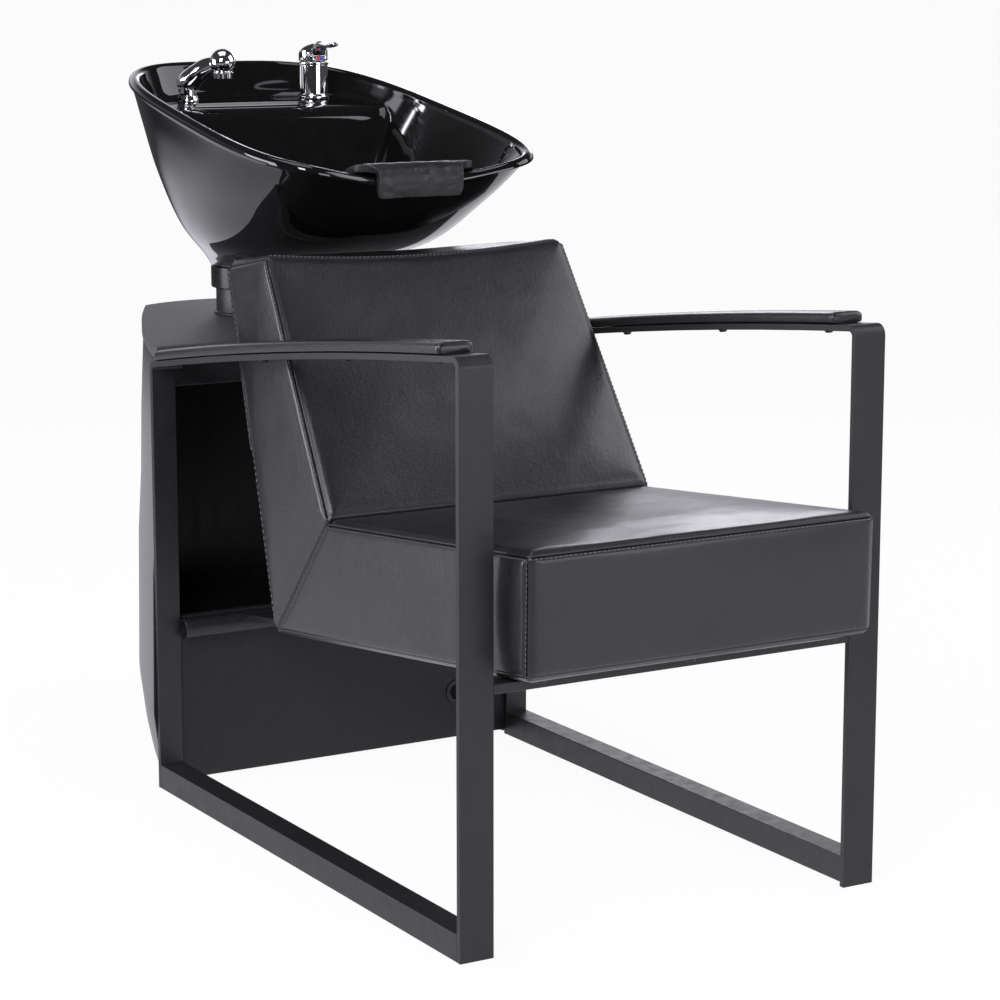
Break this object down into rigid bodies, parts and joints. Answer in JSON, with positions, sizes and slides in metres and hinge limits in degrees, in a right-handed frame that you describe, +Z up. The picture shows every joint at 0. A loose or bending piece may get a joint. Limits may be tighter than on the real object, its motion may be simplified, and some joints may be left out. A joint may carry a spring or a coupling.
{
  "type": "salon backwash unit",
  "caption": "Black salon shampoo chair on bent flat-bar frames joined to a plinth with a tilting ceramic basin, mixer tap and pull-out spray.",
  "frame": {"origin": "centre of the bounding box on the floor", "axes": "+Z up, front of the chair to -Y, +X to the right seen from the front"},
  "size_m": [0.604, 1.408, 1.0163],
  "materials": {
    "powder_coat": "satin powder coat",
    "vinyl": "satin grained vinyl",
    "plywood": "bare plywood",
    "steel": "zinc plated",
    "gloss_shell": "gloss",
    "laminate": "matt",
    "black_ceramic": "high gloss glaze",
    "soft_rubber": "soft",
    "chrome": "polished",
    "nozzle_plastic": "matt",
    "brass": "turned",
    "tap_mark": "gloss"
  },
  "bodies": {
    "chassis": {"left_arm_loop": "powder_coat", "right_arm_loop": "powder_coat", "left_bottom_rail": "powder_coat", "right_bottom_rail": "powder_coat", "front_cross_rail": "powder_coat", "rear_cross_tube": "powder_coat", "left_seat_bearer": "powder_coat", "right_seat_bearer": "powder_coat", "seat_cushion": "vinyl", "backrest": "vinyl", "seat_board": "plywood", "back_board": "plywood", "seat_bolts": "steel", "left_arm_pad": "vinyl", "right_arm_pad": "vinyl", "arm_screws": "steel", "plinth_shell": "gloss_shell", "plinth_top": "laminate", "plinth_apron": "laminate", "lower_front_panel": "laminate", "recess_shelf": "laminate", "recess_back": "laminate", "rear_hatch": "gloss_shell", "hatch_cleats": "plywood", "hatch_screws": "steel", "service_grommet": "soft_rubber", "pedestal_column": "powder_coat", "pivot_fork": "steel", "pivot_pin": "steel"},
    "bowl": {"basin": "black_ceramic", "neck_rest": "soft_rubber", "drain_body": "chrome", "drain_nut": "brass", "mixer_body": "chrome", "mixer_ring": "chrome", "spray_base": "chrome", "tap_nuts": "brass", "tilt_bracket": "steel", "stem_skirt": "gloss_shell"},
    "mixer_core": {"mixer_spindle": "brass"},
    "mixer_handle": {"mixer_cap": "chrome", "mixer_mark": "tap_mark"},
    "spray_swivel": {"spray_sleeve": "chrome"},
    "spray_handset": {"spray_pipe": "chrome", "spray_head": "chrome", "spray_nozzle": "nozzle_plastic"},
    "waste_strainer": {"strainer": "chrome"}
  },
  "joints": [
    {"name": "basin_tilt", "type": "hinge", "parent": "chassis", "child": "bowl", "pos_m": [0, 0.487, 0.655], "axis": [-1, 0, 0], "range_deg": [0, 10]},
    {"name": "mixer_turn", "type": "hinge", "parent": "bowl", "child": "mixer_core", "pos_m": [0.102, 0.487, 0.982], "axis": [0, 0, 1], "range_deg": [-45, 45]},
    {"name": "mixer_lift", "type": "hinge", "parent": "mixer_core", "child": "mixer_handle", "pos_m": [0.102, 0.5085, 0.987], "axis": [-1, 0, 0], "range_deg": [0, 22]},
    {"name": "spray_turn", "type": "hinge", "parent": "bowl", "child": "spray_swivel", "pos_m": [-0.102, 0.487, 0.941], "axis": [0, 0, 1], "range_deg": [-40, 40]},
    {"name": "spray_lift", "type": "slide", "parent": "spray_swivel", "child": "spray_handset", "axis": [0, 0, 1], "range_m": [0, 0.1]},
    {"name": "strainer_lift", "type": "slide", "parent": "bowl", "child": "waste_strainer", "axis": [0, 0, 1], "range_m": [0, 0.04]}
  ]
}
